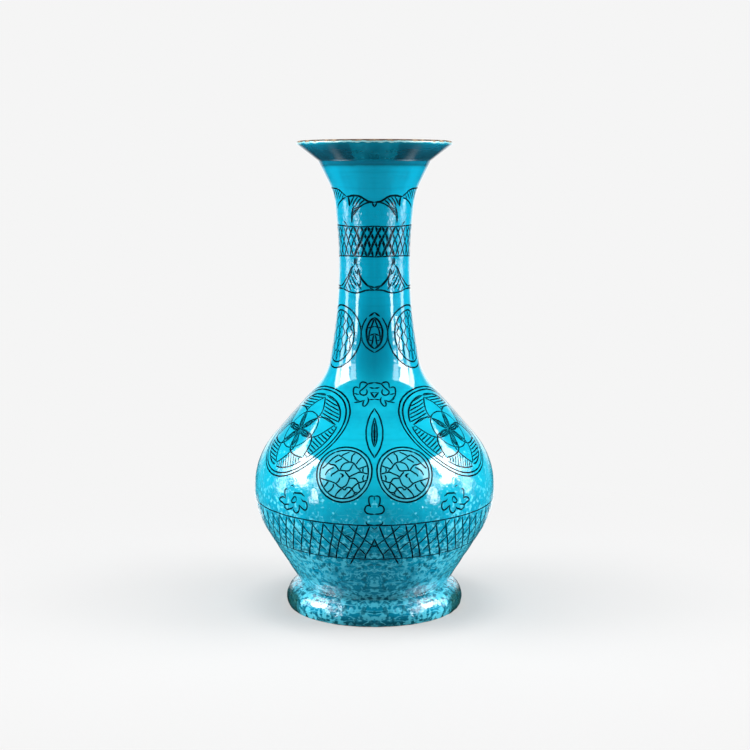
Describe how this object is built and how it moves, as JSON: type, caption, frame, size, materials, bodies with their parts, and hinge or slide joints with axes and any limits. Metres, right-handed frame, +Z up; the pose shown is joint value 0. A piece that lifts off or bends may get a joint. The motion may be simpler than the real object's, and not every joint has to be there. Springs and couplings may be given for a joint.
{
  "type": "egyptian faience jar",
  "caption": "Tall-necked turquoise faience jar with a round belly, a long waisted neck, a broad flat rim and a hollow ring foot, painted with dark rosettes, scales and lattice.",
  "frame": {"origin": "middle of the footprint, on the surface the jar stands on", "axes": "+Z up along the jar's turning axis; +Y away from the viewer, so the side drawn in the picture faces -Y"},
  "size_m": [0.1664, 0.1664, 0.32],
  "materials": {
    "turquoise_glaze": "glossy transparent turquoise alkaline glaze over dark underglaze drawing on fired faience; pooled and streaked low down, worn to the buff body on the lip",
    "joint_slip": "fired luting slip, level with the wall and glazed over with it",
    "underglaze_line": "green-black brush drawing under the glaze, on the decorated faces of the jar; it has no thickness and no solid"
  },
  "bodies": {
    "root": {"foot": "turquoise_glaze", "foot_slip": "joint_slip", "lower_body": "turquoise_glaze", "belly_slip": "joint_slip", "upper_body": "turquoise_glaze", "neck_slip": "joint_slip", "neck": "turquoise_glaze", "rim_slip": "joint_slip", "rim": "turquoise_glaze"}
  },
  "joints": []
}
